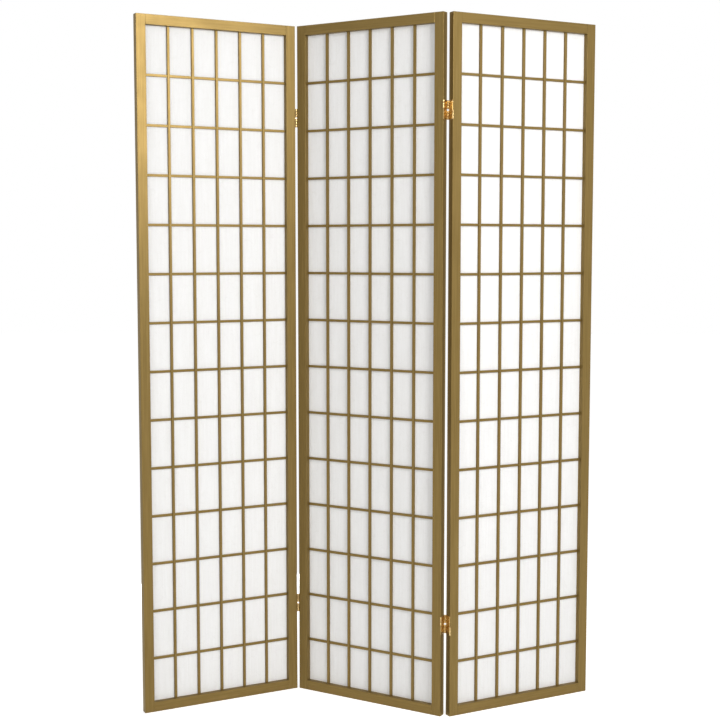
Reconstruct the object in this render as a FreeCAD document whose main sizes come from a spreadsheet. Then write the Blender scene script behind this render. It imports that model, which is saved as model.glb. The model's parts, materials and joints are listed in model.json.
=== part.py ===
import FreeCAD, Part
import os
import re
import Sketcher
from FreeCAD import Vector

# A three-panel folding screen: painted wooden frames, each with a lattice of thin
# bars and a sheet of paper behind it, joined edge to edge by two-way brass hinges.
#
# +Z is up and the origin lies on the floor at the middle of the middle panel.
# The screen stands half folded, its front facing -Y. A panel is built in its own
# frame: X runs along its width from the left edge, Y from its front face to its
# back, Z up from the floor. Lengths are in millimetres, angles in degrees.

SIZES = {
    # One panel, over its frame.
    "panel_width": 433.75,
    "panel_height": 1784.35,
    "panel_thickness": 19.05,
    "stile_width": 25.4,
    "rail_height": 25.4,
    "arris": 0.8,
    # The angle between neighbouring panels, away from a flat row.
    "fold_angle": 58.15,
    # Blind tenons on the rails, glued into the stiles.
    "tenon_length": 15,
    "tenon_thickness": 8,
    "tenon_height": 13,
    "tenon_shoulder": 4,
    "glue_play": 0.1,
    "glue_well": 1,
    # The rebate round the back of the frame, which takes the paper and its beads.
    "rebate_width": 6,
    "rebate_depth": 4.65,
    "paper_thickness": 0.3,
    "paper_play": 0.5,
    "bead_width": 5.5,
    "bead_depth": 3.9,
    # The lattice: uprights in front, cross bars let flush into their backs.
    "uprights": 5,
    "upright_width": 6.3,
    "upright_depth": 6.3,
    "cross_bars": 13,
    "cross_bar_height": 6.4,
    "cross_bar_depth": 4.5,
    "lowest_bar": 139,
    "highest_bar_drop": 148.65,
    # The two-way hinges, two on each joint between panels.
    "hinge_height": 48,
    "hinge_from_end": 239,
    "half_gap": 5,
    "leaf_thickness": 1,
    "link_thickness": 1,
    "plate_clearance": 0.1,
    "barrel_radius": 2.25,
    "barrel_clearance": 0.25,
    "pin_radius": 1,
    "pin_clearance": 0.05,
    "knuckle_gap": 0.1,
}

doc = FreeCAD.newDocument("FoldingScreen")
sheet = doc.addObject("Spreadsheet::Sheet", "Sizes")
for row, (alias, size) in enumerate(SIZES.items(), start=1):
    sheet.set(f"A{row}", alias)
    sheet.set(f"B{row}", str(size))
    sheet.setAlias(f"B{row}", alias)
doc.recompute()

# Lengths that follow from the driving sizes.
OPENING_WIDTH = "(panel_width - 2 * stile_width)"
OPENING_HEIGHT = "(panel_height - 2 * rail_height)"
PAPER_FACE = "(panel_thickness - rebate_depth)"
UPRIGHT_CELL = f"(({OPENING_WIDTH} - uprights * upright_width) / (uprights + 1))"
BAR_RISE = "(panel_height - lowest_bar - highest_bar_drop)"
PIN_OUT = "(leaf_thickness + plate_clearance + link_thickness / 2)"
PIN_PROUD = "(barrel_radius + barrel_clearance)"
HALF_HEIGHT = "((hinge_height - half_gap) / 2)"
KNUCKLE_HEIGHT = f"(({HALF_HEIGHT} - 2 * knuckle_gap) / 3)"
TILT = "(fold_angle / 2)"

# Each panel's front bottom left corner and heading. The left panel turns on the
# front pins of its joint, the right panel on the back pins of its own.
MIDDLE_X = f"(-panel_width / 2 * cos({TILT}) - panel_thickness / 2 * sin({TILT}))"
MIDDLE_Y = f"(panel_width / 2 * sin({TILT}) - panel_thickness / 2 * cos({TILT}))"
PITCH_X = f"((panel_width + 2 * {PIN_OUT}) * cos({TILT}))"
PANELS = {
    "left": (
        f"({MIDDLE_X} - {PITCH_X} - 2 * {PIN_PROUD} * sin({TILT}))",
        f"({MIDDLE_Y} - panel_width * sin({TILT}))",
        TILT,
    ),
    "middle": (MIDDLE_X, MIDDLE_Y, f"(-{TILT})"),
    "right": (
        f"({MIDDLE_X} + {PITCH_X} + 2 * (panel_thickness + {PIN_PROUD}) * sin({TILT}))",
        f"({MIDDLE_Y} - panel_width * sin({TILT}))",
        TILT,
    ),
}
HINGE_LEVELS = {
    "lower": "hinge_from_end",
    "upper": "(panel_height - hinge_from_end)",
}

SUB_PARTS = []


def in_sheet(expression):
    """The expression with each size's name pointing at its cell in the sheet."""
    return re.sub(r"\b[a-z_]+\b", lambda word: f"Sizes.{word[0]}" if word[0] in SIZES else word[0], expression)


def size(thing, **expressions):
    """Binds properties of a document object to size expressions."""
    for name, expression in expressions.items():
        thing.setExpression(name, in_sheet(expression))


def offset(thing, x="0", y="0", z="0"):
    """Binds a document object's own position."""
    for axis, expression in (("x", x), ("y", y), ("z", z)):
        thing.setExpression(f"Placement.Base.{axis}", in_sheet(expression))


def put(piece, label, panel, along="0", up="0"):
    """Names a sub-part and sets it in its panel, at a place along and up it."""
    corner_x, corner_y, heading = PANELS[panel]
    piece.Label = label
    offset(
        piece,
        f"{corner_x} + ({along}) * cos({heading})",
        f"{corner_y} + ({along}) * sin({heading})",
        up,
    )
    piece.setExpression("Placement.Rotation.Angle", in_sheet(f"{heading} * 1 deg"))
    SUB_PARTS.append(piece)


def low_end(hand, start, length):
    """Where a span begins when it is measured from an edge toward its other side."""
    return start if hand > 0 else f"(-({start}) - ({length}))"


def origin_feature(body, role):
    return next(item for item in body.Origin.OriginFeatures if item.Role == role)


def outline(body, name, plane, corners):
    """A closed sketch on an origin plane, each corner held by its two distances."""
    sketch = body.newObject("Sketcher::SketchObject", name)
    sketch.AttachmentSupport = [(origin_feature(body, plane), "")]
    sketch.MapMode = "FlatFace"
    count = len(corners)
    for side in range(count):
        sketch.addGeometry(Part.LineSegment(Vector(side, side**2, 0), Vector(side + 1, (side + 1) ** 2, 0)))
    for side in range(count):
        sketch.addConstraint(Sketcher.Constraint("Coincident", side, 2, (side + 1) % count, 1))
    for side, corner in enumerate(corners):
        for direction, expression in zip(("DistanceX", "DistanceY"), corner):
            held = sketch.addConstraint(Sketcher.Constraint(direction, -1, 1, side, 1, 1.0))
            sketch.setExpression(f"Constraints[{held}]", in_sheet(expression))
    return sketch


def pad(body, name, sketch, length, both_ways=False):
    feature = body.newObject("PartDesign::Pad", name)
    feature.Profile = sketch
    feature.Midplane = both_ways
    size(feature, Length=length)
    return feature


def repeat(body, name, original, axis, length, count):
    """A straight row of one feature of the body, evenly spaced over a length."""
    pattern = body.newObject("PartDesign::LinearPattern", name)
    pattern.Originals = [original]
    pattern.Direction = (origin_feature(body, axis), [""])
    size(pattern, Length=length, Occurrences=count)
    body.Tip = pattern
    return pattern


def hollow(body, name, corner, sides):
    """A box-shaped cut in a body."""
    cut = body.newObject("PartDesign::SubtractiveBox", name)
    offset(cut, *corner)
    size(cut, Length=sides[0], Width=sides[1], Height=sides[2])
    return cut


def box(name, corner, sides):
    block = doc.addObject("Part::Box", name)
    offset(block, *corner)
    size(block, Length=sides[0], Width=sides[1], Height=sides[2])
    return block


def cylinder(name, foot, radius, height):
    rod = doc.addObject("Part::Cylinder", name)
    offset(rod, *foot)
    size(rod, Radius=radius, Height=height)
    return rod


def eased(width, thickness, hand=1):
    """A rectangle with its four corners taken off, from an edge toward one side."""
    across = (("arris", "0"), (f"{width} - arris", "0"), (width, "arris"), (width, f"{thickness} - arris"))
    back = ((f"{width} - arris", thickness), ("arris", thickness), ("0", f"{thickness} - arris"), ("0", "arris"))
    return [(f"{hand} * ({x})", y) for x, y in across + back]


def stile(panel, side):
    """An upright side of the frame, with a mortise near each end and a stopped rebate."""
    hand = 1 if side == "left" else -1
    body = doc.addObject("PartDesign::Body", f"{panel}_{side}_stile")
    section = outline(body, "section", "XY_Plane", eased("stile_width", "panel_thickness", hand))
    pad(body, "length", section, "panel_height")
    depth = "(tenon_length + glue_well)"
    thickness = "(tenon_thickness + 2 * glue_play)"
    height = "(tenon_height + 2 * glue_play)"
    for end in ("bottom", "top"):
        level = "(tenon_shoulder - glue_play)"
        corner = (
            low_end(hand, f"stile_width - {depth}", depth),
            f"(panel_thickness - {thickness}) / 2",
            level if end == "bottom" else f"panel_height - {level} - {height}",
        )
        hollow(body, f"{end}_mortise", corner, (depth, thickness, height))
    hollow(
        body,
        "rebate",
        (low_end(hand, "stile_width - rebate_width", "rebate_width"), PAPER_FACE, "rail_height - rebate_width"),
        ("rebate_width", "rebate_depth", f"{OPENING_HEIGHT} + 2 * rebate_width"),
    )
    put(body, f"{panel}_{side}_stile", panel, "0" if side == "left" else "panel_width")


def rail(panel, end):
    """A top or bottom of the frame, between the stiles, with a tenon at each end."""
    hand = 1 if end == "bottom" else -1
    body = doc.addObject("PartDesign::Body", f"{panel}_{end}_rail")
    # On the YZ plane a sketch's first direction is Y and its second is Z.
    flat = [(y, z) for z, y in eased("rail_height", "panel_thickness", hand)]
    section = outline(body, "section", "YZ_Plane", flat)
    pad(body, "length", section, OPENING_WIDTH, both_ways=True)
    front = "((panel_thickness - tenon_thickness) / 2)"
    back = "((panel_thickness + tenon_thickness) / 2)"
    low = f"{hand} * tenon_shoulder"
    high = f"{hand} * (tenon_shoulder + tenon_height)"
    tongue = outline(body, "tongue", "YZ_Plane", [(front, low), (back, low), (back, high), (front, high)])
    pad(body, "tenons", tongue, f"{OPENING_WIDTH} + 2 * tenon_length", both_ways=True)
    hollow(
        body,
        "rebate",
        (
            f"-{OPENING_WIDTH} / 2",
            PAPER_FACE,
            low_end(hand, "rail_height - rebate_width", "rebate_width"),
        ),
        (OPENING_WIDTH, "rebate_depth", "rebate_width"),
    )
    put(body, f"{panel}_{end}_rail", panel, "panel_width / 2", "0" if end == "bottom" else "panel_height")


def upright_bars(panel):
    """The standing bars of the lattice, notched at the back for the cross bars."""
    body = doc.addObject("PartDesign::Body", f"{panel}_upright_bars")
    body.AllowCompound = True
    left = f"(stile_width + {UPRIGHT_CELL})"
    right = f"({left} + upright_width)"
    front = f"({PAPER_FACE} - upright_depth)"
    section = outline(
        body, "section", "XY_Plane", [(left, front), (right, front), (right, PAPER_FACE), (left, PAPER_FACE)]
    )
    first = pad(body, "first_bar", section, OPENING_HEIGHT)
    span = f"(uprights - 1) * ({UPRIGHT_CELL} + upright_width)"
    repeat(body, "row", first, "X_Axis", span, "uprights")
    corner = ("stile_width", f"{PAPER_FACE} - cross_bar_depth", "lowest_bar - cross_bar_height / 2 - rail_height")
    notch = hollow(body, "lowest_notches", corner, (OPENING_WIDTH, "cross_bar_depth", "cross_bar_height"))
    repeat(body, "notches", notch, "Z_Axis", BAR_RISE, "cross_bars")
    put(body, f"{panel}_upright_bars", panel, "0", "rail_height")


def cross_bars(panel):
    """The lying bars of the lattice, one piece each from stile to stile."""
    body = doc.addObject("PartDesign::Body", f"{panel}_cross_bars")
    body.AllowCompound = True
    front = f"({PAPER_FACE} - cross_bar_depth)"
    low = "-cross_bar_height / 2"
    high = "cross_bar_height / 2"
    section = outline(
        body, "section", "YZ_Plane", [(front, low), (PAPER_FACE, low), (PAPER_FACE, high), (front, high)]
    )
    lowest = pad(body, "lowest_bar", section, OPENING_WIDTH)
    repeat(body, "column", lowest, "Z_Axis", BAR_RISE, "cross_bars")
    put(body, f"{panel}_cross_bars", panel, "stile_width", "lowest_bar")


def paper_sheet(panel):
    """The sheet of paper, glued to the back of the lattice inside the rebate."""
    edge = "(stile_width - rebate_width + paper_play)"
    foot = "(rail_height - rebate_width + paper_play)"
    margin = "2 * (rebate_width - paper_play)"
    sheet_of_paper = doc.addObject("PartDesign::Body", f"{panel}_paper_sheet")
    far = f"{OPENING_WIDTH} + {margin}"
    back = f"{PAPER_FACE} + paper_thickness"
    section = outline(
        sheet_of_paper, "section", "XY_Plane", [("0", PAPER_FACE), (far, PAPER_FACE), (far, back), ("0", back)]
    )
    pad(sheet_of_paper, "height", section, f"{OPENING_HEIGHT} + {margin}")
    put(sheet_of_paper, f"{panel}_paper_sheet", panel, edge, foot)


def rear_beads(panel):
    """Four thin strips that hold the paper's edges in the rebate, butted at the corners."""
    edge = "(rebate_width - bead_width)"
    tall = f"({OPENING_HEIGHT} + 2 * bead_width)"
    face = f"({PAPER_FACE} + paper_thickness)"
    strips = [
        box(f"{panel}_{name}", (x, face, z), (length, "bead_depth", height))
        for name, x, z, length, height in (
            ("left_bead", edge, edge, "bead_width", tall),
            ("right_bead", f"{edge} + bead_width + {OPENING_WIDTH}", edge, "bead_width", tall),
            ("bottom_bead", f"{edge} + bead_width", edge, OPENING_WIDTH, "bead_width"),
            ("top_bead", f"{edge} + bead_width", f"{edge} + bead_width + {OPENING_HEIGHT}", OPENING_WIDTH, "bead_width"),
        )
    ]
    beads = doc.addObject("Part::Compound", f"{panel}_rear_beads")
    beads.Links = strips
    put(beads, f"{panel}_rear_beads", panel, "stile_width - rebate_width", "rail_height - rebate_width")


def knuckle_feet(half):
    """The feet of the three knuckles in one half of a hinge, the innermost first.

    A hinge's own level 0 is its middle. The leaf has the middle knuckle of the
    three, and the link has the two outside it.
    """
    feet = [f"(half_gap / 2 + {place} * ({KNUCKLE_HEIGHT} + knuckle_gap))" for place in range(3)]
    if half == "upper":
        return feet
    return [f"(-{foot} - {KNUCKLE_HEIGHT})" for foot in feet]


def pin_line(place):
    """How far behind the panel's front face the pins stand."""
    return f"(-{PIN_PROUD})" if place == "front" else f"(panel_thickness + {PIN_PROUD})"


def neck(name, place, left, thickness, foot):
    """The strip that carries a plate out to its knuckle, past the panel's face."""
    start = pin_line("front") if place == "front" else "panel_thickness"
    return box(name, (left, start, foot), (thickness, PIN_PROUD, KNUCKLE_HEIGHT))


def fused(name, pieces):
    whole = doc.addObject("Part::MultiFuse", name)
    whole.Shapes = pieces
    whole.Refine = True
    return whole


def hinge_leaf(label, panel, edge, level, knuckles, axle):
    """A plate on the panel's edge with one front and one back knuckle.

    The knuckle in the row of pins that carries the fold is bored for its pin. The
    other is closed over its own pin, which doesn't turn.
    """
    outward = -1 if edge == "left" else 1
    left = low_end(outward, "0", "leaf_thickness")
    axis = f"{outward} * {PIN_OUT}"
    plate = box(f"{label}_plate", (left, "0", "-hinge_height / 2"), ("leaf_thickness", "panel_thickness", "hinge_height"))
    solids = [plate]
    for place, half in knuckles.items():
        foot = knuckle_feet(half)[1]
        centre = (axis, pin_line(place), foot)
        solids.append(neck(f"{label}_{place}_neck", place, left, "leaf_thickness", foot))
        solids.append(cylinder(f"{label}_{place}_knuckle", centre, "barrel_radius", KNUCKLE_HEIGHT))
    bore_foot = (axis, pin_line(axle), knuckle_feet(knuckles[axle])[1])
    leaf = doc.addObject("Part::Cut", label)
    leaf.Base = fused(f"{label}_blank", solids)
    leaf.Tool = cylinder(f"{label}_bore", bore_foot, "pin_radius + pin_clearance", KNUCKLE_HEIGHT)
    put(leaf, label, panel, "0" if edge == "left" else "panel_width", level)


def hinge_link(label, panel, edge, level, half, axle):
    """A plate between the two leaves, with two knuckles at each end.

    The pin that turns is riveted into its two knuckles, and is one solid with them.
    """
    outward = -1 if edge == "left" else 1
    axis = f"{outward} * {PIN_OUT}"
    left = f"({axis} - link_thickness / 2)"
    inner, _, outer = knuckle_feet(half)
    low = "half_gap / 2" if half == "upper" else f"(-half_gap / 2 - {HALF_HEIGHT})"
    plate = box(f"{label}_plate", (left, "0", low), ("link_thickness", "panel_thickness", HALF_HEIGHT))
    solids = [plate]
    solids.append(cylinder(f"{label}_pin", (axis, pin_line(axle), low), "pin_radius", HALF_HEIGHT))
    for place in ("front", "back"):
        for name, foot in (("inner", inner), ("outer", outer)):
            centre = (axis, pin_line(place), foot)
            solids.append(neck(f"{label}_{place}_{name}_neck", place, left, "link_thickness", foot))
            solids.append(cylinder(f"{label}_{place}_{name}_knuckle", centre, "barrel_radius", KNUCKLE_HEIGHT))
    put(fused(label, solids), label, panel, "0" if edge == "left" else "panel_width", level)


def hinge(junction, level_name, left_panel, right_panel, axle):
    """One two-way hinge: two leaves, and two links that cross between them.

    The upper link runs from the left leaf's front pin to the right leaf's back
    pin, the lower link from the left leaf's back pin to the right leaf's front
    pin. With the panels folded on one row of pins, each link lies along the
    leaf that holds its other end, so it moves with that leaf's panel.
    """
    name = f"{junction}_{level_name}_hinge"
    level = HINGE_LEVELS[level_name]
    hinge_leaf(f"{name}_left_leaf", left_panel, "right", level, {"front": "upper", "back": "lower"}, axle)
    hinge_leaf(f"{name}_right_leaf", right_panel, "left", level, {"front": "lower", "back": "upper"}, axle)
    if axle == "front":
        carried = (("upper", right_panel, "left"), ("lower", left_panel, "right"))
    else:
        carried = (("upper", left_panel, "right"), ("lower", right_panel, "left"))
    for half, panel, edge in carried:
        hinge_link(f"{name}_{half}_link", panel, edge, level, half, axle)


for panel_name in PANELS:
    for side_name in ("left", "right"):
        stile(panel_name, side_name)
    for end_name in ("bottom", "top"):
        rail(panel_name, end_name)
    upright_bars(panel_name)
    cross_bars(panel_name)
    paper_sheet(panel_name)
    rear_beads(panel_name)
for level_word in HINGE_LEVELS:
    hinge("left", level_word, "left", "middle", "front")
    hinge("right", level_word, "middle", "right", "back")

doc.recompute()
for item in doc.Objects:
    if "Invalid" in item.State or "Error" in item.State:
        raise RuntimeError(f"{item.Label} did not build: {item.State}")
for piece in SUB_PARTS:
    if piece.Shape.isNull() or not piece.Shape.isValid():
        raise RuntimeError(f"{piece.Label} has no valid shape")

os.makedirs("parts", exist_ok=True)
for piece in SUB_PARTS:
    piece.Shape.exportStep(f"parts/{piece.Label}.step")
    print(f"{piece.Label}: {len(piece.Shape.Solids)} solids, {piece.Shape.Volume:.0f} cubic mm")
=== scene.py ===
# %% [markdown]
# # A folding screen of three panels
#
# The screen is a row of three light wooden frames, painted a satin gold. Each frame holds
# a lattice of thin bars with white paper glued behind it, and small brass hinges join the
# frames edge to edge. The solid model has already settled every size and every joint, so
# this lesson never guesses a length twice: it loads those solids, measures them, and
# builds a finer piece in the place of each.

# %% Load the solid model
import itertools
import json
import math
import random

import bmesh
import bpy
from mathutils import Matrix, Vector

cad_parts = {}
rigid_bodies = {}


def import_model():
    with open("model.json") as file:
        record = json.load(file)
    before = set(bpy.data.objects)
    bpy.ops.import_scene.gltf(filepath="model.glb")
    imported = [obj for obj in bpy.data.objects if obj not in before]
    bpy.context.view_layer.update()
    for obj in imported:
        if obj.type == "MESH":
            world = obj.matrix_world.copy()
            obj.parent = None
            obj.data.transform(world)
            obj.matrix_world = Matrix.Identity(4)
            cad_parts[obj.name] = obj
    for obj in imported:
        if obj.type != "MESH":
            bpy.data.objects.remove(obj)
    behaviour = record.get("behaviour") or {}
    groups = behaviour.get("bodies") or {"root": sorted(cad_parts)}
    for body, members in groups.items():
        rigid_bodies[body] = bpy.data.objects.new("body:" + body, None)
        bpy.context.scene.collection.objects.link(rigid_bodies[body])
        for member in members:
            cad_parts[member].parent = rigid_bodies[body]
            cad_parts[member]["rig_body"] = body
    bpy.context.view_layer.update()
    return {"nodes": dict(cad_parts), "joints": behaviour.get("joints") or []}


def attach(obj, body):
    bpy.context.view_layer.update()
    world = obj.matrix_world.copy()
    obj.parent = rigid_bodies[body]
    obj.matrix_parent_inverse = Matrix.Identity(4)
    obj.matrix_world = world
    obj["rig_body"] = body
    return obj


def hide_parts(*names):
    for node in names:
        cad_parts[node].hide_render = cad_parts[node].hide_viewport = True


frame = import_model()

MM = 0.001

# %% [markdown]
# ## A frame of reference for each panel
#
# The screen stands half folded, so no panel runs along the world's axes. Measuring a
# turned board is awkward. It is easier to give each panel its own frame of reference,
# with X along its width from the left edge, Y from its front face to its back and Z up,
# and to build every piece there. The joints say how far the screen is from flat: their
# lower limit is the flat row, and each panel is turned by half of that angle.

# %% Where each panel stands
FOLD = -math.radians(frame["joints"][0]["range_deg"][0])
TURNS = {"left_panel": FOLD / 2, "middle_panel": -FOLD / 2, "right_panel": FOLD / 2}
PANELS = [body.split("_")[0] for body in TURNS]


def corner_of(panel, turn):
    """A panel's turn, and its front bottom left corner as its left stile shows it."""
    turning = Matrix.Rotation(turn, 4, "Z")
    stile = frame["nodes"][f"{panel}_left_stile"]
    points = [turning.inverted() @ point.co for point in stile.data.vertices]
    low = Vector(min(point[axis] for point in points) for axis in range(3))
    return turning @ Matrix.Translation(low)


places = {body: corner_of(body.split("_")[0], turn) for body, turn in TURNS.items()}
for body, place in places.items():
    print(body, "stands at", [round(value, 4) for value in place.translation])

# %% [markdown]
# ## Measuring the solids
#
# A node is one named piece of the solid model. Its points, taken into the panel's frame,
# give its box, and the distinct places along one axis tell where each bar of the lattice
# begins and ends. Nothing has to be typed in again, so a change of size in the solids
# carries through to this file by itself.

# %% Boxes and marks
NEAR = 0.01 * MM


def points_of(node):
    """A node's points in the frame of the panel that it rides on."""
    thing = frame["nodes"][node]
    home = places[thing["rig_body"]].inverted()
    return [home @ point.co for point in thing.data.vertices]


def box_of(node):
    """The lowest and the highest corner of a node, in its panel's frame."""
    points = points_of(node)
    low = Vector(min(point[axis] for point in points) for axis in range(3))
    high = Vector(max(point[axis] for point in points) for axis in range(3))
    return low, high


def marks_of(node, axis):
    """The distinct places of a node's points along one axis."""
    marks = []
    for value in sorted(point[axis] for point in points_of(node)):
        if not marks or value - marks[-1] > NEAR:
            marks.append(value)
    return marks


def pairs(marks):
    """The marks two by two: where each bar begins and ends."""
    return list(zip(marks[0::2], marks[1::2]))


STILE_WIDTH, THICKNESS, HEIGHT = box_of("middle_left_stile")[1]
RAIL_HEIGHT = box_of("middle_bottom_rail")[1].z
WIDTH = box_of("middle_right_stile")[1].x
UPRIGHTS = pairs(marks_of("middle_upright_bars", 0))
CROSSES = pairs(marks_of("middle_cross_bars", 2))
UPRIGHT_FACE = box_of("middle_upright_bars")[0].y
CROSS_FACE = box_of("middle_cross_bars")[0].y
PAPER_FACE, PAPER_BACK = (corner.y for corner in box_of("middle_paper_sheet"))
print("a panel:", round(WIDTH, 4), "x", round(HEIGHT, 4), "x", round(THICKNESS, 4), "m")
print("the lattice:", len(UPRIGHTS), "uprights and", len(CROSSES), "cross bars")

# %% [markdown]
# ## Boards cut from boxes
#
# Joinery is straight cuts in straight stock. A board is a box, a tenon is a box added to
# its end, and a mortise, a rebate or a notch is a box taken away. Boolean modifiers would
# do it, but they leave stray points on faces that lie in one plane. Here the boxes cut
# space into a grid of cells instead, the cells that hold wood are kept, and only the
# faces between wood and air are built. The mesh is closed by the way it is made.

# %% Cut a board
DIGITS = 7
FLAT = math.radians(1)


def lies_in(point, boxes):
    """Whether a point is inside any of some boxes."""
    return any(
        all(low[axis] < point[axis] < high[axis] for axis in range(3))
        for low, high in boxes
    )


def carved(solids, hollows=()):
    """A closed mesh of boxes less other boxes, each given by its two corners."""
    corners = [corner for pair in (*solids, *hollows) for corner in pair]
    # Rounding to a tenth of a micrometre makes marks that should agree the same.
    marks = [sorted({round(corner[axis], DIGITS) for corner in corners}) for axis in range(3)]
    wood = set()
    for cell in itertools.product(*(range(len(row) - 1) for row in marks)):
        middle = [(row[step] + row[step + 1]) / 2 for row, step in zip(marks, cell)]
        if lies_in(middle, solids) and not lies_in(middle, hollows):
            wood.add(cell)
    mesh = bmesh.new()
    points = {}
    for cell, axis, side in itertools.product(sorted(wood), range(3), (0, 1)):
        beyond = list(cell)
        beyond[axis] += 2 * side - 1
        if tuple(beyond) in wood:
            continue
        ring = []
        for along, across in ((0, 0), (1, 0), (1, 1), (0, 1)):
            spot = list(cell)
            spot[axis] += side
            spot[(axis + 1) % 3] += along
            spot[(axis + 2) % 3] += across
            spot = tuple(spot)
            if spot not in points:
                points[spot] = mesh.verts.new([row[step] for row, step in zip(marks, spot)])
            ring.append(points[spot])
        mesh.faces.new(ring if side else reversed(ring))
    bmesh.ops.dissolve_limit(mesh, angle_limit=FLAT, verts=mesh.verts[:], edges=mesh.edges[:])
    return mesh


# %% [markdown]
# ## Arrises
#
# No real board has a knife edge. A stroke of sandpaper takes off each arris, the sharp
# line where two faces meet, and that narrow round is what catches the light. Only the
# edges on the outside of the finished board are eased, never those inside a joint. The
# new faces get a number named "arris", so that the paint can later be worn there alone.

# %% Ease the outer edges
def outer_edges(mesh, axes, front_only=False):
    """The edges along some axes that lie on the edges of the board's own box."""
    low = [min(point.co[axis] for point in mesh.verts) for axis in range(3)]
    high = [max(point.co[axis] for point in mesh.verts) for axis in range(3)]
    found = []
    for edge in mesh.edges:
        run = edge.verts[1].co - edge.verts[0].co
        along = max(range(3), key=lambda axis: abs(run[axis]))
        middle = (edge.verts[0].co + edge.verts[1].co) / 2
        beside = [axis for axis in range(3) if axis != along]
        at_edge = all(
            min(abs(middle[axis] - low[axis]), abs(middle[axis] - high[axis])) < NEAR
            for axis in beside
        )
        in_front = middle.y - low[1] < NEAR
        if along in axes and at_edge and (in_front or not front_only):
            found.append(edge)
    return found


def eased(mesh, edges, radius, steps=3):
    """Rounds the edges, and marks the new faces as arrises."""
    mark = mesh.faces.layers.float.get("arris") or mesh.faces.layers.float.new("arris")
    made = bmesh.ops.bevel(
        mesh,
        geom=edges,
        offset=radius,
        segments=steps,
        profile=0.5,
        affect="EDGES",
        clamp_overlap=True,
    )
    for face in made["faces"]:
        face[mark] = 1.0
    return mesh


# %% [markdown]
# ## From boards to a piece
#
# The five uprights of a lattice are five boards, but they make one piece of the model.
# Every board gets a random number named "board" on its faces. The paint uses it to start
# its grain somewhere else on each board, as on real timber, where no two sticks match.
# The numbers come from a seeded source, so each run gives the same screen.

# %% Gather boards into one object
SEED = 29
chance = random.Random(SEED)
made_pieces = []


def together(meshes):
    """Several meshes as one, each still a closed skin of its own."""
    whole = bmesh.new()
    for mesh in meshes:
        part = bpy.data.meshes.new("part")
        mesh.to_mesh(part)
        mesh.free()
        whole.from_mesh(part)
        bpy.data.meshes.remove(part)
    return whole


def gathered(boards):
    """Several boards as one mesh, with a number of its own for each board."""
    for board in boards:
        number = board.faces.layers.float.new("board")
        fate = chance.random()
        for face in board.faces:
            face[number] = fate
    return together(boards)


def as_object(name, mesh, material, rounded=None):
    """A bmesh as an object. Faces that meet at less than the rounded angle look smooth."""
    data = bpy.data.meshes.new(name)
    mesh.normal_update()
    mesh.to_mesh(data)
    mesh.free()
    if rounded is not None:
        data.shade_smooth()
        data.set_sharp_from_angle(angle=rounded)
    data.materials.append(material)
    thing = bpy.data.objects.new(name, data)
    bpy.context.scene.collection.objects.link(thing)
    return thing


def fitted(thing, node, stands_for=True):
    """Sets a piece in its panel's place and on its panel's body."""
    body = frame["nodes"][node]["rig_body"]
    thing.matrix_world = places[body]
    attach(thing, body)
    if stands_for:
        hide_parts(node)
    made_pieces.append(thing)
    return thing


# %% [markdown]
# ## Writing materials as nodes
#
# A material is a small network. A few helpers keep the network readable: "add" makes a
# node with its settings and what flows into it, four more make the nodes that come again
# and again, and the last ones start a material or a group. A group is a network with
# named inputs and outputs that several materials can share, each with its own values.

# %% Helpers for single nodes
def add(tree, kind, inputs=None, **settings):
    """Adds a node. Each input is a plain value or the output of another node."""
    node = tree.nodes.new(kind)
    for name, value in settings.items():
        setattr(node, name, value)
    for name, value in (inputs or {}).items():
        if isinstance(value, bpy.types.NodeSocket):
            tree.links.new(value, node.inputs[name])
        else:
            node.inputs[name].default_value = value
    return node


def maths(tree, operation, *values, clamp=False):
    """One step of arithmetic on numbers or on what other nodes put out."""
    inputs = dict(enumerate(values))
    return add(tree, "ShaderNodeMath", inputs, operation=operation, use_clamp=clamp).outputs[0]


def noise(tree, where, scale, detail, roughness=0.5, distortion=0.0):
    """Noise with features of about 1 over scale, and finer layers as detail says."""
    inputs = {"Vector": where, "Scale": scale, "Detail": detail}
    inputs |= {"Roughness": roughness, "Distortion": distortion}
    return add(tree, "ShaderNodeTexNoise", inputs).outputs["Fac"]


def ramp(tree, value, start, end, low=0.0, high=1.0):
    """Goes from low to high as a value goes from start to end, and stays so beyond."""
    inputs = {"Value": value, "From Min": start, "From Max": end, "To Min": low, "To Max": high}
    return add(tree, "ShaderNodeMapRange", inputs).outputs["Result"]


def mixed_colour(tree, share, first, second):
    """The first colour where the share is 0, and the second where it is 1."""
    inputs = {"Factor": share, "A": first, "B": second}
    return add(tree, "ShaderNodeMix", inputs, data_type="RGBA").outputs["Result"]


# %% Helpers for whole networks
def new_group(name, inputs, outputs):
    """An empty group with its sockets, and its two ends."""
    tree = bpy.data.node_groups.new(name, "ShaderNodeTree")
    for label, (kind, value) in inputs.items():
        socket = tree.interface.new_socket(name=label, in_out="INPUT", socket_type=kind)
        if value is not None:
            socket.default_value = value
    for label in outputs:
        tree.interface.new_socket(name=label, in_out="OUTPUT", socket_type="NodeSocketFloat")
    return tree, tree.nodes.new("NodeGroupInput"), tree.nodes.new("NodeGroupOutput")


def effect(tree, group, where, **amounts):
    """Places a group in a material with values of its own, and gives its outputs."""
    return add(tree, "ShaderNodeGroup", {"Vector": where, **amounts}, node_tree=group).outputs


def new_material(name):
    """A material with only its output node."""
    material = bpy.data.materials.new(name)
    material.use_nodes = True
    tree = material.node_tree
    tree.nodes.clear()
    return material, tree, tree.nodes.new("ShaderNodeOutputMaterial")


# %% [markdown]
# ## The group "brushed grain"
#
# Under thin paint the grain of the wood still shows as long soft ridges, and the brush
# leaves finer strokes that run the same way. Both are noise that is stretched along Z.
# Across and Along say how many features there are in a metre each way, and the strokes
# are some times finer. The board's own number moves the pattern, so that neighbours
# differ. Brass uses the same group for the fine lines that its rolling leaves.

# %% Build brushed grain
BOARD_SPREAD = 7.0
STROKES_FINER = 4.5

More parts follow.
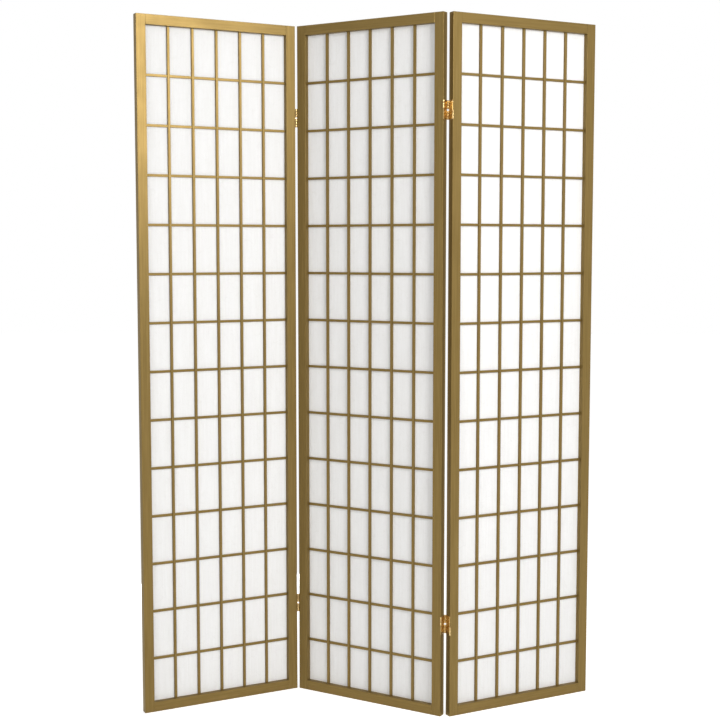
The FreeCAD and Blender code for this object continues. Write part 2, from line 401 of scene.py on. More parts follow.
grain_group, ends_in, ends_out = new_group(
    "brushed_grain",
    {
        "Vector": ("NodeSocketVector", None),
        "Board": ("NodeSocketFloat", 0.0),
        "Across": ("NodeSocketFloat", 400.0),
        "Along": ("NodeSocketFloat", 12.0),
    },
    ("Ridges", "Strokes"),
)
given = ends_in.outputs
shift = maths(grain_group, "MULTIPLY", given["Board"], BOARD_SPREAD)
start = add(grain_group, "ShaderNodeCombineXYZ", {"X": shift, "Y": shift, "Z": shift})
moved = add(
    grain_group,
    "ShaderNodeVectorMath",
    {0: given["Vector"], 1: start.outputs[0]},
    operation="ADD",
)
stretch = add(
    grain_group,
    "ShaderNodeCombineXYZ",
    {"X": given["Across"], "Y": given["Across"], "Z": given["Along"]},
)
long_way = add(
    grain_group,
    "ShaderNodeVectorMath",
    {0: moved.outputs[0], 1: stretch.outputs[0]},
    operation="MULTIPLY",
).outputs[0]
ridges = noise(grain_group, long_way, 1.0, 4.0, roughness=0.55, distortion=0.3)
strokes = noise(grain_group, long_way, STROKES_FINER, 2.0)
grain_group.links.new(ridges, ends_out.inputs["Ridges"])
grain_group.links.new(strokes, ends_out.inputs["Strokes"])
print(grain_group.name, "has", len(grain_group.nodes), "nodes")

# %% [markdown]
# ## The group "edge wear"
#
# Paint and polish go first where hands and cloths rub, which is along the edges, and they
# go in patches. The group takes broken noise above a limit, lets it fade in softly, and
# multiplies it with the "arris" number. A longer Reach lowers the limit, so more goes.

# %% Build edge wear
LIMIT_UNWORN = 0.75
FADE = 0.12

wear_group, ends_in, ends_out = new_group(
    "edge_wear",
    {
        "Vector": ("NodeSocketVector", None),
        "Reach": ("NodeSocketFloat", 0.4),
        "Scale": ("NodeSocketFloat", 60.0),
    },
    ("Wear",),
)
given = ends_in.outputs
arris = add(wear_group, "ShaderNodeAttribute", attribute_name="arris").outputs["Fac"]
patches = noise(wear_group, given["Vector"], given["Scale"], 6.0, roughness=0.65)
limit = maths(wear_group, "SUBTRACT", LIMIT_UNWORN, given["Reach"])
gone = ramp(wear_group, patches, limit, maths(wear_group, "ADD", limit, FADE))
worn = maths(wear_group, "MULTIPLY", gone, arris)
wear_group.links.new(worn, ends_out.inputs["Wear"])
print(wear_group.name, "has", len(wear_group.nodes), "nodes")

# %% [markdown]
# ## The group "handling"
#
# A surface that has been touched and dusted is nowhere equally glossy. Soft clouds make
# the sheen uneven. Their Scale fits the thing: clouds as wide as a hand on the frames,
# and of a few millimetres on the hinges.

# %% Build handling
handling_group, ends_in, ends_out = new_group(
    "handling",
    {"Vector": ("NodeSocketVector", None), "Scale": ("NodeSocketFloat", 18.0)},
    ("Clouds",),
)
given = ends_in.outputs
clouds = noise(handling_group, given["Vector"], given["Scale"], 3.0)
handling_group.links.new(clouds, ends_out.inputs["Clouds"])
print(handling_group.name, "has", len(handling_group.nodes), "nodes")

# %% [markdown]
# ## Gold paint
#
# The gold is a satin paint with metal flakes in it. Flakes give a coloured highlight, as
# metal does, and the binder between them scatters light as any paint does, so the
# material is partly metallic and fairly rough. The grain changes the tone a little,
# handling changes the gloss, and the grain and the brush strokes raise a very small bump.
# On the worn arrises the pale wood comes through. Grain has to run along each board, so a
# second copy of the material is turned by a quarter for the boards that lie.

# %% Mix the gold paint
GOLD = (0.236, 0.159, 0.051, 1.0)
GOLD_DEEP = (0.184, 0.121, 0.036, 1.0)
GOLD_EDGEWISE = (0.55, 0.50, 0.40, 1.0)
BARE_WOOD = (0.420, 0.270, 0.130, 1.0)
FLAKES = 0.45
SATIN, SATIN_DULL = 0.32, 0.41


def gold_paint(name, turn):
    """Gold paint over wood whose grain runs along Z once it is turned."""
    material, tree, output = new_material(name)
    place = add(tree, "ShaderNodeTexCoord").outputs["Object"]
    board = add(tree, "ShaderNodeAttribute", attribute_name="board").outputs["Fac"]
    lengthwise = add(tree, "ShaderNodeMapping", {"Vector": place, "Rotation": turn}).outputs[0]
    grain = effect(tree, grain_group, lengthwise, Board=board, Across=420.0, Along=9.0)
    wear = effect(tree, wear_group, place, Reach=0.11, Scale=45.0)["Wear"]
    clouds = effect(tree, handling_group, place, Scale=12.0)["Clouds"]

    tone = ramp(tree, grain["Ridges"], 0.30, 0.68)
    paint = mixed_colour(tree, tone, GOLD_DEEP, GOLD)
    height = maths(tree, "ADD", grain["Ridges"], grain["Strokes"])
    bump = add(tree, "ShaderNodeBump", {"Strength": 0.5, "Distance": 0.06 * MM, "Height": height})
    shader = add(
        tree,
        "ShaderNodeBsdfPrincipled",
        {
            "Base Color": mixed_colour(tree, wear, paint, BARE_WOOD),
            "Metallic": ramp(tree, wear, 0.0, 1.0, FLAKES, 0.0),
            "Roughness": ramp(tree, clouds, 0.3, 0.7, SATIN, SATIN_DULL),
            "Normal": bump.outputs["Normal"],
            "Specular IOR Level": 0.32,
            "Specular Tint": GOLD_EDGEWISE,
        },
    )
    tree.links.new(shader.outputs["BSDF"], output.inputs["Surface"])
    return material


gold_standing = gold_paint("gold_paint_standing", (0.0, 0.0, 0.0))
gold_lying = gold_paint("gold_paint_lying", (0.0, math.radians(90), 0.0))
print("gold paint has", len(gold_standing.node_tree.nodes), "nodes")

# %% [markdown]
# ## Stiles
#
# A stile is an upright side of a frame and takes the load of the whole screen. Two blind
# mortises in its inner edge hold the rails, and a stopped rebate in its back takes the
# paper with its beads. The mortises are measured from the rails' tenons, with the room
# for glue that the joiner leaves. A cut that comes out of the wood goes a little past it.

# %% Make the stiles
GLUE_PLAY = 0.1 * MM
GLUE_WELL = 1.0 * MM
ARRIS = 0.55 * MM
PAPER_PLAY = 0.5 * MM
SHORT_EDGE = 15 * MM
PAST = 1.0 * MM
PAPER_LOW, PAPER_HIGH = box_of("middle_paper_sheet")
REBATE = (
    (PAPER_LOW.x - PAPER_PLAY, PAPER_FACE, PAPER_LOW.z - PAPER_PLAY),
    (PAPER_HIGH.x + PAPER_PLAY, THICKNESS + PAST, PAPER_HIGH.z + PAPER_PLAY),
)


def painted(node, boards, material):
    """Boards as the gold painted piece that stands for a node."""
    thing = as_object(f"{node}_painted", gathered(boards), material)
    return fitted(thing, node)


def tenon_box(end):
    """The box that holds both tenons of a rail, from tip to tip."""
    node = f"middle_{end}_rail"
    low, high = box_of(node)
    # The rail's own front, its rebate and its back are no faces of the tenon.
    nearest, farthest = low.y + 2 * ARRIS, PAPER_FACE - PAPER_PLAY
    faces = [mark for mark in marks_of(node, 1) if nearest < mark < farthest]
    tips = [point.z for point in points_of(node) if point.x < low.x + NEAR]
    return (low.x, faces[0], min(tips)), (high.x, faces[-1], max(tips))


def stile(panel, side):
    """A stile with its mortises and rebate. Short edges on its inner side stay sharp."""
    node = f"{panel}_{side}_stile"
    low, high = box_of(node)
    mortises = []
    for end in ("bottom", "top"):
        tip, far_tip = tenon_box(end)
        mortises.append(
            (
                (tip[0] - GLUE_WELL, tip[1] - GLUE_PLAY, tip[2] - GLUE_PLAY),
                (far_tip[0] + GLUE_WELL, far_tip[1] + GLUE_PLAY, far_tip[2] + GLUE_PLAY),
            )
        )
    board = carved([(low, high)], [REBATE, *mortises])
    inner = high.x if side == "left" else low.x
    edges = [
        edge
        for edge in outer_edges(board, (0, 1, 2))
        if edge.calc_length() > SHORT_EDGE
        or any(abs(point.co.x - inner) > NEAR for point in edge.verts)
    ]
    eased(board, edges, ARRIS)
    painted(node, [board], gold_standing)


for panel, side in itertools.product(PANELS, ("left", "right")):
    stile(panel, side)
print("stiles:", len(made_pieces))

# %% [markdown]
# ## Rails
#
# The rails close the frame at its foot and its head. A tenon on each end is glued into
# the stile, so the joint shows outside only as a fine straight line. In the photograph
# that line is clear at the upper left corner: the rail's shoulders are eased a little, and
# the paint has left a groove there.

# %% Make the rails
SEAM = 0.6 * MM


def rail(panel, end):
    """A rail between the stiles, with its tenons and a fine seam at each shoulder."""
    node = f"{panel}_{end}_rail"
    low, high = box_of(node)
    tenons = tenon_box(end)
    body = ((STILE_WIDTH, low.y, low.z), (WIDTH - STILE_WIDTH, high.y, high.z))
    board = carved([body, tenons], [REBATE])
    shoulders = [
        edge
        for edge in board.edges
        if all(point.co.y - low.y < NEAR for point in edge.verts)
        and abs(edge.verts[0].co.x - edge.verts[1].co.x) < NEAR
    ]
    eased(board, shoulders, SEAM, steps=1)
    eased(board, outer_edges(board, (0,)), ARRIS)
    painted(node, [board], gold_lying)


for panel, end in itertools.product(PANELS, ("bottom", "top")):
    rail(panel, end)
print("stiles and rails:", len(made_pieces))

# %% [markdown]
# ## The lattice
#
# Thin sticks make the pattern of the screen. The uprights stand in front, and each has a
# row of notches in its back that takes the cross bars flush, so both lie in one plane
# against the paper. Cutting the notches as boxes from each stick gives true half-hidden
# joints: seen from the side, the cross bar passes through the upright.

# %% Make the uprights and the cross bars
BAR_ARRIS = 0.35 * MM


def stick(low, high, axis, notches=()):
    """One bar of the lattice along an axis, eased along its front."""
    bar = carved([(low, high)], notches)
    return eased(bar, outer_edges(bar, (axis,), front_only=True), BAR_ARRIS, steps=2)


def uprights(panel):
    """The uprights of one lattice, notched for every cross bar."""
    node = f"{panel}_upright_bars"
    low, high = box_of(node)
    notches = [((0, CROSS_FACE, foot), (WIDTH, PAPER_FACE + PAST, top)) for foot, top in CROSSES]
    sticks = [
        stick((left, UPRIGHT_FACE, low.z), (right, PAPER_FACE, high.z), 2, notches)
        for left, right in UPRIGHTS
    ]
    painted(node, sticks, gold_standing)


def cross_bars(panel):
    """The cross bars of one lattice, from stile to stile."""
    ends = (STILE_WIDTH, WIDTH - STILE_WIDTH)
    sticks = [
        stick((ends[0], CROSS_FACE, foot), (ends[1], PAPER_FACE, top), 0) for foot, top in CROSSES
    ]
    painted(f"{panel}_cross_bars", sticks, gold_lying)


for panel in PANELS:
    uprights(panel)
    cross_bars(panel)
print("bars in each lattice:", len(UPRIGHTS) + len(CROSSES))

# %% [markdown]
# ## Shoji paper
#
# The sheet is a strong white paper of long plant fibres. It glows, because light from
# behind passes through it, and held against the light it shows its fibres: most run up
# the sheet in faint streaks, and a few long ones wander across. The streaks are stretched
# noise. The long fibres are the borders of Voronoi cells, bent by more noise. Both change
# the tone by only a little, because the real paper looks plain white from a step away.
# The shader mixes a matt surface with a translucent one.

# %% Draw the fibres
STREAKS_A_METRE = (240.0, 240.0, 14.0)
BEND = 0.04
THREAD_WIDTH = 0.035
THREAD_TONE = 0.26
PULP_TONE = 0.36

shoji_paper, tree, output = new_material("shoji_paper")
place = add(tree, "ShaderNodeTexCoord").outputs["Object"]
streak_space = add(tree, "ShaderNodeMapping", {"Vector": place, "Scale": STREAKS_A_METRE})
streaks = noise(tree, streak_space.outputs[0], 1.0, 5.0, roughness=0.6)
pulp = ramp(tree, streaks, 0.35, 0.75, 0.0, PULP_TONE)
drift = add(tree, "ShaderNodeTexNoise", {"Vector": place, "Scale": 35.0, "Detail": 2.0})
bent = add(
    tree,
    "ShaderNodeMix",
    {"Factor": BEND, "A": place, "B": drift.outputs["Color"]},
    data_type="VECTOR",
).outputs["Result"]
fibre_space = add(tree, "ShaderNodeMapping", {"Vector": bent, "Scale": (1.0, 0.05, 1.0)})
fibres = add(
    tree,
    "ShaderNodeTexVoronoi",
    {"Vector": fibre_space.outputs[0], "Scale": 70.0, "Randomness": 1.0},
    feature="DISTANCE_TO_EDGE",
)
thread = ramp(tree, fibres.outputs["Distance"], 0.0, THREAD_WIDTH, 1.0, 0.0)
density = maths(tree, "MULTIPLY_ADD", thread, THREAD_TONE, pulp)
print("the fibres take", len(tree.nodes) - 1, "nodes")

# %% Mix the paper
PAPER_WHITE = (0.928, 0.926, 0.920, 1.0)
PAPER_FIBRE = (0.80, 0.79, 0.77, 1.0)
GLOW = 0.28

sheet_colour = mixed_colour(tree, density, PAPER_WHITE, PAPER_FIBRE)
relief = add(
    tree, "ShaderNodeBump", {"Strength": 0.35, "Distance": 0.08 * MM, "Height": density}
).outputs["Normal"]
surface = add(
    tree,
    "ShaderNodeBsdfPrincipled",
    {
        "Base Color": sheet_colour,
        "Roughness": 0.85,
        "Specular IOR Level": 0.2,
        "Normal": relief,
    },
).outputs["BSDF"]
through = add(tree, "ShaderNodeBsdfTranslucent", {"Color": sheet_colour, "Normal": relief})
mixed = add(tree, "ShaderNodeMixShader", {0: GLOW, 1: surface, 2: through.outputs["BSDF"]})
tree.links.new(mixed.outputs[0], output.inputs["Surface"])
print("shoji paper has", len(tree.nodes), "nodes")

# %% [markdown]
# ## The sheet on its lattice
#
# The paper is glued to the backs of the bars and round the frame. Between them it was
# damp when it went on and dried taut, but no field is quite flat: each one swells or
# sinks by a tenth or two of a millimetre. The sheet is a grid that has a line at each
# side of every bar, where it lies still, and four steps across each field, where it bows.
# Two such grids and a rim between them make the closed sheet.

# %% Lay out the grid
FIELD_STEPS = 4
BAGGING = 0.22 * MM
LEAST_BAG, MOST_BAG = -0.3, 1.0
PAPER_SMOOTH = math.radians(40)


def field_marks(edges, rims):
    """Grid lines with the field that each lies in, and how far into it, from 0 to 1."""
    lines = [(edges[0], 0, 0.0)]
    for number, (start, end) in enumerate(zip(rims[0::2], rims[1::2])):
        for step in range(FIELD_STEPS + 1):
            share = step / FIELD_STEPS
            lines.append((start + (end - start) * share, number, share))
    lines.append((edges[1], number, 1.0))
    return lines


def bow(share):
    """How far a field bows at a share of its width, from 0 at its rims to 1."""
    return math.sin(math.pi * share)


def rim_of(columns, rows):
    """The grid points round the edge of a sheet, in order."""
    rim = [(column, 0) for column in range(columns)]
    rim += [(columns, row) for row in range(rows)]
    rim += [(column, rows) for column in range(columns, 0, -1)]
    rim += [(0, row) for row in range(rows, 0, -1)]
    return rim


# %% Make the sheets
def paper(panel):
    """The sheet of one panel, slightly bagged in each field."""
    node = f"{panel}_paper_sheet"
    low, high = box_of(node)
    open_width = [STILE_WIDTH, *itertools.chain(*UPRIGHTS), WIDTH - STILE_WIDTH]
    open_height = [RAIL_HEIGHT, *itertools.chain(*CROSSES), HEIGHT - RAIL_HEIGHT]
    across = field_marks((low.x, high.x), open_width)
    up = field_marks((low.z, high.z), open_height)
    swell = {
        field: chance.uniform(LEAST_BAG, MOST_BAG) * BAGGING
        for field in itertools.product(range(len(UPRIGHTS) + 1), range(len(CROSSES) + 1))
    }
    sheet = bmesh.new()
    layers = []
    for face_y in (PAPER_FACE, PAPER_BACK):
        grid = []
        for x, column, x_share in across:
            line = []
            for z, row, z_share in up:
                give = swell[column, row] * bow(x_share) * bow(z_share)
                line.append(sheet.verts.new((x, face_y + give, z)))
            grid.append(line)
        layers.append(grid)
    columns, rows = len(across) - 1, len(up) - 1
    for column, row in itertools.product(range(columns), range(rows)):
        for grid, behind in zip(layers, (False, True)):
            left, right = grid[column], grid[column + 1]
            ring = [left[row], right[row], right[row + 1], left[row + 1]]
            sheet.faces.new(reversed(ring) if behind else ring)
    front, back = layers
    rim = rim_of(columns, rows)
    for (column, row), (to_column, to_row) in zip(rim, rim[1:] + rim[:1]):
        near = (front[column][row], back[column][row])
        far = (back[to_column][to_row], front[to_column][to_row])
        sheet.faces.new((*near, *far))
    bmesh.ops.recalc_face_normals(sheet, faces=sheet.faces[:])
    thing = as_object(f"{node}_washi", sheet, shoji_paper, PAPER_SMOOTH)
    return fitted(thing, node)


for panel in PANELS:
    sheet = paper(panel)
    print(sheet.name, "has", len(sheet.data.polygons), "faces")

# %% [markdown]
# ## The beads behind
#
# From behind, four slim beads close the rebate and press the paper's edge to the frame.
# The long ones run right through, and the short ones are cut between them. Their outer
# arrises are rounded more than the frame's, as such strips are sold with a soft edge.

# %% Make the beads
BEAD_ARRIS = 1.0 * MM


def beads(panel):
    """The four beads of one panel, with the paint's grain along each."""
    node = f"{panel}_rear_beads"
    low, high = box_of(node)
    inner_left, inner_right = STILE_WIDTH, WIDTH - STILE_WIDTH
    inner_foot, inner_top = RAIL_HEIGHT, HEIGHT - RAIL_HEIGHT
    spans = [
        ((low.x, low.z), (inner_left, high.z), gold_standing),
        ((inner_right, low.z), (high.x, high.z), gold_standing),
        ((inner_left, low.z), (inner_right, inner_foot), gold_lying),
        ((inner_left, inner_top), (inner_right, high.z), gold_lying),
    ]
    strips = []
    for (left, foot), (right, top), material in spans:
        strip = carved([((left, low.y, foot), (right, high.y, top))])
        along = 2 if material is gold_standing else 0
        sides = outer_edges(strip, (along,))
        backs = [edge for edge in sides if edge.verts[0].co.y > high.y - NEAR]
        eased(strip, backs, BEAD_ARRIS)
        for face in strip.faces:
            face.material_index = 0 if material is gold_standing else 1
        strips.append(strip)
    painted(node, strips, gold_standing).data.materials.append(gold_lying)


for panel in PANELS:
    beads(panel)
print("pieces so far:", len(made_pieces))

# %% [markdown]
# ## Brass
#
# The hinges are stamped from polished brass sheet. Brass is fully metallic, so its colour
# is all in what it mirrors. Fine rolling lines raise a slight bump, clouds of light
# tarnish turn it browner and duller, and on the arrises the tarnish is rubbed away.

# %% Mix the brass
BRASS = (0.60, 0.44, 0.20, 1.0)
BRASS_DULL = (0.34, 0.20, 0.075, 1.0)


def brass(name, rough_low, rough_high):
    """Brass between two roughnesses, the lower where it is polished."""
    material, tree, output = new_material(name)
    place = add(tree, "ShaderNodeTexCoord").outputs["Object"]
    lines = effect(tree, grain_group, place, Across=1500.0, Along=160.0)["Ridges"]
    wear = effect(tree, wear_group, place, Reach=0.45, Scale=300.0)["Wear"]
    clouds = effect(tree, handling_group, place, Scale=150.0)["Clouds"]

    tarnish = ramp(tree, clouds, 0.42, 0.72, 0.0, 0.8)
    left_dull = maths(tree, "SUBTRACT", tarnish, wear, clamp=True)
    bump = add(tree, "ShaderNodeBump", {"Strength": 0.25, "Distance": 0.02 * MM, "Height": lines})
    shader = add(
        tree,
        "ShaderNodeBsdfPrincipled",
        {
            "Base Color": mixed_colour(tree, left_dull, BRASS, BRASS_DULL),
            "Metallic": 1.0,
            "Roughness": ramp(tree, left_dull, 0.0, 1.0, rough_low, rough_high),
            "Normal": bump.outputs["Normal"],
        },
    )
    tree.links.new(shader.outputs["BSDF"], output.inputs["Surface"])
    return material


hinge_brass = brass("hinge_brass", 0.22, 0.40)
screw_brass = brass("screw_brass", 0.26, 0.45)
print("brass has", len(hinge_brass.node_tree.nodes), "nodes")

# %% [markdown]
# ## Turned forms
#
# Knuckles, pins and screws are round. On a lathe such a form is one profile carried round
# an axis, and Blender's spin does the same: a row of points, each a radius and a height,
# is swept through a full turn. The row begins and ends on the axis, so the form is closed.

# %% Turn a profile
ROUND_STEPS = 40


def turned(profile, centre):
    """A closed mesh from a profile of (radius, height) points round an upright axis."""
    mesh = bmesh.new()
    points = [mesh.verts.new((radius, 0, height)) for radius, height in profile]
    row = [mesh.edges.new(pair) for pair in zip(points, points[1:])]
    bmesh.ops.spin(
        mesh,
        geom=points + row,
        cent=(0, 0, 0),
        axis=(0, 0, 1),
        angle=math.tau,
        steps=ROUND_STEPS,
        use_merge=True,
    )
    bmesh.ops.remove_doubles(mesh, verts=mesh.verts[:], dist=NEAR / 10)
    bmesh.ops.recalc_face_normals(mesh, faces=mesh.faces[:])
    bmesh.ops.translate(mesh, verts=mesh.verts[:], vec=centre)
    return mesh


# %% [markdown]
# ## Joining metal parts
#
# A hinge leaf is one sheet whose ends are rolled into knuckles. Here the plate, the necks
# and the knuckles are separate closed meshes, and exact booleans make them one skin. The
# screw holes and the bore are then cut in one go, because each boolean after another
# leaves finer slivers for the next. The tools are thrown away afterwards.

# %% Weld and drill
METAL_SMOOTH = math.radians(35)


def welded(name, plate, added, cut=()):
    """One object from a plate, what is joined to it and what is cut from it."""
    thing = as_object(name, plate, hinge_brass)
    steps = [(mesh, "UNION") for mesh in added]
    if cut:
        steps.append((together(cut), "DIFFERENCE"))
    tools = []
    for mesh, operation in steps:
        tool = as_object("tool", mesh, hinge_brass)
        step = thing.modifiers.new("join", "BOOLEAN")
        step.solver = "EXACT"
        step.operation = operation
        step.object = tool
        tools.append(tool)
    seen = thing.evaluated_get(bpy.context.evaluated_depsgraph_get())
    data = bpy.data.meshes.new_from_object(seen)
    thing.modifiers.clear()
    thing.data = data
    for tool in tools:
        bpy.data.objects.remove(tool)
    data.shade_smooth()
    data.set_sharp_from_angle(angle=METAL_SMOOTH)
    return thing


# %% [markdown]
# ## Two-way hinges
#
# A common hinge folds one way. This one folds both ways, because it has two rows of pins,
# one in front of the panels and one behind, and two links that cross between them. The
# leaves are screwed to the panels' edges. Knuckles come in threes: a leaf has the middle
# one and a link has the two outside it. The joint's own place in the solid model gives
# the pins: the left joint turns on its front row.

# %% Where the pins are
BARREL = 2.25 * MM
PLATE = 1.0 * MM
PIN = 1.0 * MM
BORE = 1.05 * MM
DOME = 1.3 * MM
DOME_RISE = 0.35 * MM
SOFT_EDGE = 0.4 * MM
SOFT_STEP = 0.3 * SOFT_EDGE
NECK_ROOT = 1.0 * MM
RUN_GAP = 0.1 * MM
left_pin = places["middle_panel"].inverted() @ Vector(frame["joints"][0]["pos_m"])
PIN_OUT = -left_pin.x
PIN_PROUD = -left_pin.y
PIN_LINES = {"front": -PIN_PROUD, "back": THICKNESS + PIN_PROUD}
print("the pins stand", round(PIN_OUT, 5), "m from the edge and", round(PIN_PROUD, 5), "m proud")


def knuckle_spans(low, high):
    """Three knuckles that share the height of half a hinge, from the bottom up."""
    each = (high - low - 2 * RUN_GAP) / 3
    starts = [low + number * (each + RUN_GAP) for number in range(3)]
    return [(start, start + each) for start in starts]


def knuckle(x, line, span):
    """A round knuckle with softened rims."""
    low, high = span
    rim = [
        (BARREL - SOFT_EDGE, low),
        (BARREL - SOFT_STEP, low + SOFT_STEP),
        (BARREL, low + SOFT_EDGE),
        (BARREL, high - SOFT_EDGE),
        (BARREL - SOFT_STEP, high - SOFT_STEP),
        (BARREL - SOFT_EDGE, high),
    ]
    return turned([(0, low), *rim, (0, high)], (x, PIN_LINES[line], 0))


def neck(x_low, x_high, line, span):
    """The strip of sheet between a plate and its knuckle."""
    low, high = span
    if line == "front":
        y_low, y_high = -PIN_PROUD, NECK_ROOT
    else:
        y_low, y_high = THICKNESS - NECK_ROOT, THICKNESS + PIN_PROUD
    return carved([((x_low, y_low, low + RUN_GAP), (x_high, y_high, high - RUN_GAP))])


def rivet(x, line, low, high):
    """A pin with a low dome on each end."""
    dome = [(0, DOME_RISE), (0.6 * DOME, 0.8 * DOME_RISE), (DOME, 0)]
    dome += [(DOME, -RUN_GAP / 2), (PIN, -RUN_GAP)]
    foot = [(radius, low - rise) for radius, rise in dome]
    head = [(radius, high + rise) for radius, rise in reversed(dome)]
    return turned(foot + head, (x, PIN_LINES[line], 0))


# %% [markdown]
# ## Screws
#
# Four countersunk screws hold each leaf. Their heads lie just below the plate's face,
# because the link folds flat over it with only a tenth of a millimetre to spare. A screw
# is a turned profile, laid on its side, with a slot cut across the head.

# %% Turn a screw
HEAD = 2.0 * MM
SHANK = 0.9 * MM
SUNK = 0.12 * MM
SCREW_LENGTH = 11 * MM
SLOT = 0.6 * MM


def laid(mesh, x, y, z, outward):
    """Lays an upright mesh along X, its top outward, and moves it to a point."""
    lay = Matrix.Translation((x, y, z)) @ Matrix.Rotation(outward * math.radians(90), 4, "Y")
    bmesh.ops.transform(mesh, matrix=lay, verts=mesh.verts[:])
    return mesh


def sink(x, y, z, outward):
    """The countersunk hole for one screw. No ring of it lies in a face of the plate."""
    throat, mouth = SHANK + RUN_GAP, HEAD + RUN_GAP
    cone_depth = 0.8 * PLATE
    overshoot = 0.5 * PLATE
    wide = mouth + (mouth - throat) * overshoot / cone_depth
    profile = [(0, -2 * PLATE), (throat, -2 * PLATE), (throat, -cone_depth)]
    profile += [(wide, overshoot), (0, overshoot)]
    return laid(turned(profile, (0, 0, 0)), x, y, z, outward)


def screw(x, y, z, outward, turn):
    """A slotted screw in its hole, its slot at some turn."""
    profile = [(0, -SCREW_LENGTH), (0.3 * SHANK, -0.9 * SCREW_LENGTH)]
    profile += [(SHANK, -0.75 * SCREW_LENGTH), (SHANK, -PLATE)]
    profile += [(HEAD, -SUNK - RUN_GAP), (HEAD, -SUNK), (0, -SUNK)]
    body = as_object("screw", turned(profile, (0, 0, 0)), screw_brass)
    slot = carved([((-HEAD * 2, -SLOT / 2, -SUNK - SLOT), (HEAD * 2, SLOT / 2, PLATE))])
    aside = Matrix.Rotation(turn, 3, "Z")
    bmesh.ops.rotate(slot, verts=slot.verts[:], cent=(0, 0, 0), matrix=aside)
    cutter = as_object("slot", slot, screw_brass)
    step = body.modifiers.new("slot", "BOOLEAN")
    step.solver = "EXACT"
    step.object = cutter
    seen = body.evaluated_get(bpy.context.evaluated_depsgraph_get())
    mesh = bmesh.new()
    mesh.from_mesh(seen.to_mesh())
    seen.to_mesh_clear()
    for thing in (body, cutter):
        bpy.data.objects.remove(thing)
    return laid(mesh, x, y, z, outward)


# %% [markdown]
# ## Leaves and links
#
# A leaf is a plate with a neck and a knuckle for each row of pins, one in its upper half
# and one in its lower half. A link is a plate of half the height with four knuckles and
# its pin. Of each hinge's two rows only one turns in this model, its axle: the leaf's
# knuckle on that row is bored, and the link's pin runs through it.

# %% Make the hinges
LEAF_KNUCKLES = {
    "left_leaf": {"front": "upper", "back": "lower"},
    "right_leaf": {"front": "lower", "back": "upper"},
}
SCREW_INSET = 4.6 * MM
SCREW_RISE = 16.0 * MM
PLATE_ARRIS = 0.15 * MM


def halves_of(hinge):
    """The height that each half of a hinge takes, read from its two links."""
    boxes = {half: box_of(f"{hinge}_{half}_link") for half in ("upper", "lower")}
    return {half: (low.z, high.z) for half, (low, high) in boxes.items()}


def edge_of(node):
    """The panel's edge that a hinge part is on, and which way is outward from it."""
    low, high = box_of(node)
    return (0.0, -1) if low.x + high.x < WIDTH else (WIDTH, 1)


def plate_of(x_low, x_high, low, high):
    """A plate as wide as the panel is thick, its arrises barely eased."""
    plate = carved([((x_low, 0, low), (x_high, THICKNESS, high))])
    return eased(plate, outer_edges(plate, (1, 2)), PLATE_ARRIS, steps=2)


def leaf(hinge, side, axle):
    """One leaf with its knuckles, its bore and holes, and its four screws."""
    node = f"{hinge}_{side}"
    edge, outward = edge_of(node)
    low, high = box_of(node)
    x_low, x_high = sorted((edge, edge + outward * PLATE))
    plate = plate_of(x_low, x_high, low.z, high.z)
    x = edge + outward * PIN_OUT
    halves = halves_of(hinge)
    spans = {
        line: knuckle_spans(*halves[half])[1] for line, half in LEAF_KNUCKLES[side].items()
    }
    added = []
    for line, span in spans.items():
        added.append(neck(x_low, x_high, line, span))
        added.append(knuckle(x, line, span))
    foot, top = spans[axle][0] - PAST, spans[axle][1] + PAST
    bore = turned([(0, foot), (BORE, foot), (BORE, top), (0, top)], (x, PIN_LINES[axle], 0))
    level = (low.z + high.z) / 2
    spots = [
        (edge + outward * PLATE, y, level + rise)
        for y in (SCREW_INSET, THICKNESS - SCREW_INSET)
        for rise in (-SCREW_RISE, SCREW_RISE)
    ]
    holes = [sink(*spot, outward) for spot in spots]
    fitted(welded(f"{node}_plate", plate, added, [bore, *holes]), node)
    screws = gathered([screw(*spot, outward, chance.uniform(0, math.pi)) for spot in spots])
    set_in = as_object(f"{node}_screws", screws, screw_brass, METAL_SMOOTH)
    fitted(set_in, node, stands_for=False)


def link(hinge, half, axle):
    """One link with its four knuckles and its pin."""
    node = f"{hinge}_{half}_link"
    edge, outward = edge_of(node)
    low, high = halves_of(hinge)[half]
    x = edge + outward * PIN_OUT
    x_low, x_high = x - PLATE / 2, x + PLATE / 2
    plate = plate_of(x_low, x_high, low, high)
    above_and_below = knuckle_spans(low, high)[0::2]
    added = []
    for line, span in itertools.product(PIN_LINES, above_and_below):
        added.append(neck(x_low, x_high, line, span))
        added.append(knuckle(x, line, span))
    added.append(rivet(x, axle, low, high))
    fitted(welded(f"{node}_plate", plate, added), node)


for junction, axle in (("left", "front"), ("right", "back")):
    for level in ("lower", "upper"):
        hinge = f"{junction}_{level}_hinge"
        for side in LEAF_KNUCKLES:
            leaf(hinge, side, axle)
        for half in ("upper", "lower"):
            link(hinge, half, axle)
print("all the pieces:", len(made_pieces))

# %% [markdown]
# ## Floor and surroundings
#
# The photograph shows the screen against plain white. The world is white where the camera
# looks at it, and also in gloss, so that the brass mirrors a white room. For everything
# else it is a dimmer, even light. The floor is a pale matt sheet, and a glow that only
# such rays see lifts it to white. Where the screen keeps light off it, it is darker.

# %% Set up the room
WHITE = (1.0, 1.0, 1.0, 1.0)
AMBIENT = 0.46
FLOOR_SIZE = 30.0
FLOOR_PALE = (0.90, 0.90, 0.90, 1.0)
FLOOR_LIFT = 0.595


def seen_directly(tree):
    """1 for rays from the camera, off gloss and through glass, and 0 for all others."""
    path = add(tree, "ShaderNodeLightPath").outputs
    either = maths(tree, "MAXIMUM", path["Is Camera Ray"], path["Is Glossy Ray"])
    return maths(tree, "MAXIMUM", either, path["Is Transmission Ray"])


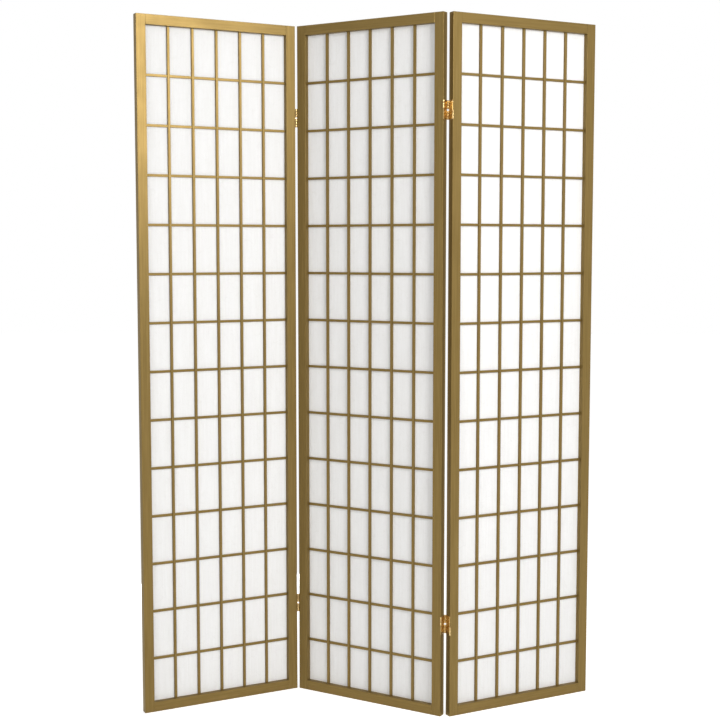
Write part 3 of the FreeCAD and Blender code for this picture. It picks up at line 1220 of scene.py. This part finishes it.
world = bpy.data.worlds.new("white_room")
bpy.context.scene.world = world
world.use_nodes = True
tree = world.node_tree
tree.nodes.clear()
strength = ramp(tree, seen_directly(tree), 0.0, 1.0, AMBIENT, 1.0)
background = add(tree, "ShaderNodeBackground", {"Color": WHITE, "Strength": strength})
sky = add(tree, "ShaderNodeOutputWorld")
tree.links.new(background.outputs[0], sky.inputs["Surface"])

pale_floor, tree, output = new_material("pale_floor")
matt = add(tree, "ShaderNodeBsdfDiffuse", {"Color": FLOOR_PALE})
lift = maths(tree, "MULTIPLY", seen_directly(tree), FLOOR_LIFT)
white = add(tree, "ShaderNodeEmission", {"Color": WHITE, "Strength": lift})
both = add(tree, "ShaderNodeAddShader", {0: matt.outputs[0], 1: white.outputs[0]})
tree.links.new(both.outputs[0], output.inputs["Surface"])

ground = bmesh.new()
bmesh.ops.create_grid(ground, x_segments=1, y_segments=1, size=FLOOR_SIZE / 2)
floor = as_object("floor", ground, pale_floor)
print("the room's even light is", AMBIENT, "and the floor is", FLOOR_SIZE, "m wide")

# %% [markdown]
# ## Lamps
#
# The left panel is brightest near its top and fades downward, while the middle panel
# stays dark, although both have the same paint. A partly metallic paint does that when
# it mirrors one soft lamp. Following the view from the camera to the top of the left
# panel and off it again gives the lamp's direction: to the right and a little above. A
# wide lamp in front fills the shade, and a small one low behind the screen shines
# through the foot of the paper, which would look grey without it.

# %% Hang the lamps
def soft_lamp(name, place, target, width, height, watts):
    """An area lamp that faces a target and isn't itself in the picture."""
    lamp = bpy.data.lights.new(name, "AREA")
    lamp.shape = "RECTANGLE"
    lamp.size = width
    lamp.size_y = height
    lamp.energy = watts
    thing = bpy.data.objects.new(name, lamp)
    thing.location = place
    towards = Vector(target) - Vector(place)
    thing.rotation_euler = towards.to_track_quat("-Z", "Y").to_euler()
    thing.visible_camera = False
    bpy.context.scene.collection.objects.link(thing)
    return thing


key = soft_lamp("key_lamp", (1.50, -2.25, 2.10), (-0.2, 0.0, 1.1), 1.0, 1.0, 54.0)
fill = soft_lamp("fill_lamp", (-1.5, -4.1, 1.0), (0.0, 0.0, 0.8), 2.5, 2.5, 28.0)
glow = soft_lamp("glow_lamp", (-0.5, 1.3, 0.15), (-0.1, 0.0, 0.15), 1.0, 0.4, 9.0)
for lamp in (key, fill, glow):
    print(lamp.name, "has", lamp.data.energy, "W")

# %% [markdown]
# ## Camera
#
# The edges of the panels in the photograph fix the camera. It stands at two thirds of the
# screen's height and a little to the right of its middle, and looks slightly down. The
# picture is square.

# %% Place the camera
LOOK_DOWN = 4.864
LOOK_LEFT = 1.721

camera = bpy.data.objects.new("camera", bpy.data.cameras.new("camera"))
camera.data.lens = 65.53
camera.data.sensor_width = 36.0
camera.location = (0.0772, -3.4055, 1.2020)
camera.rotation_euler = (math.radians(90 - LOOK_DOWN), 0.0, math.radians(LOOK_LEFT))
bpy.context.scene.collection.objects.link(camera)
bpy.context.scene.camera = camera
bpy.context.scene.view_settings.view_transform = "Standard"
print("camera at", [round(value, 3) for value in camera.location])
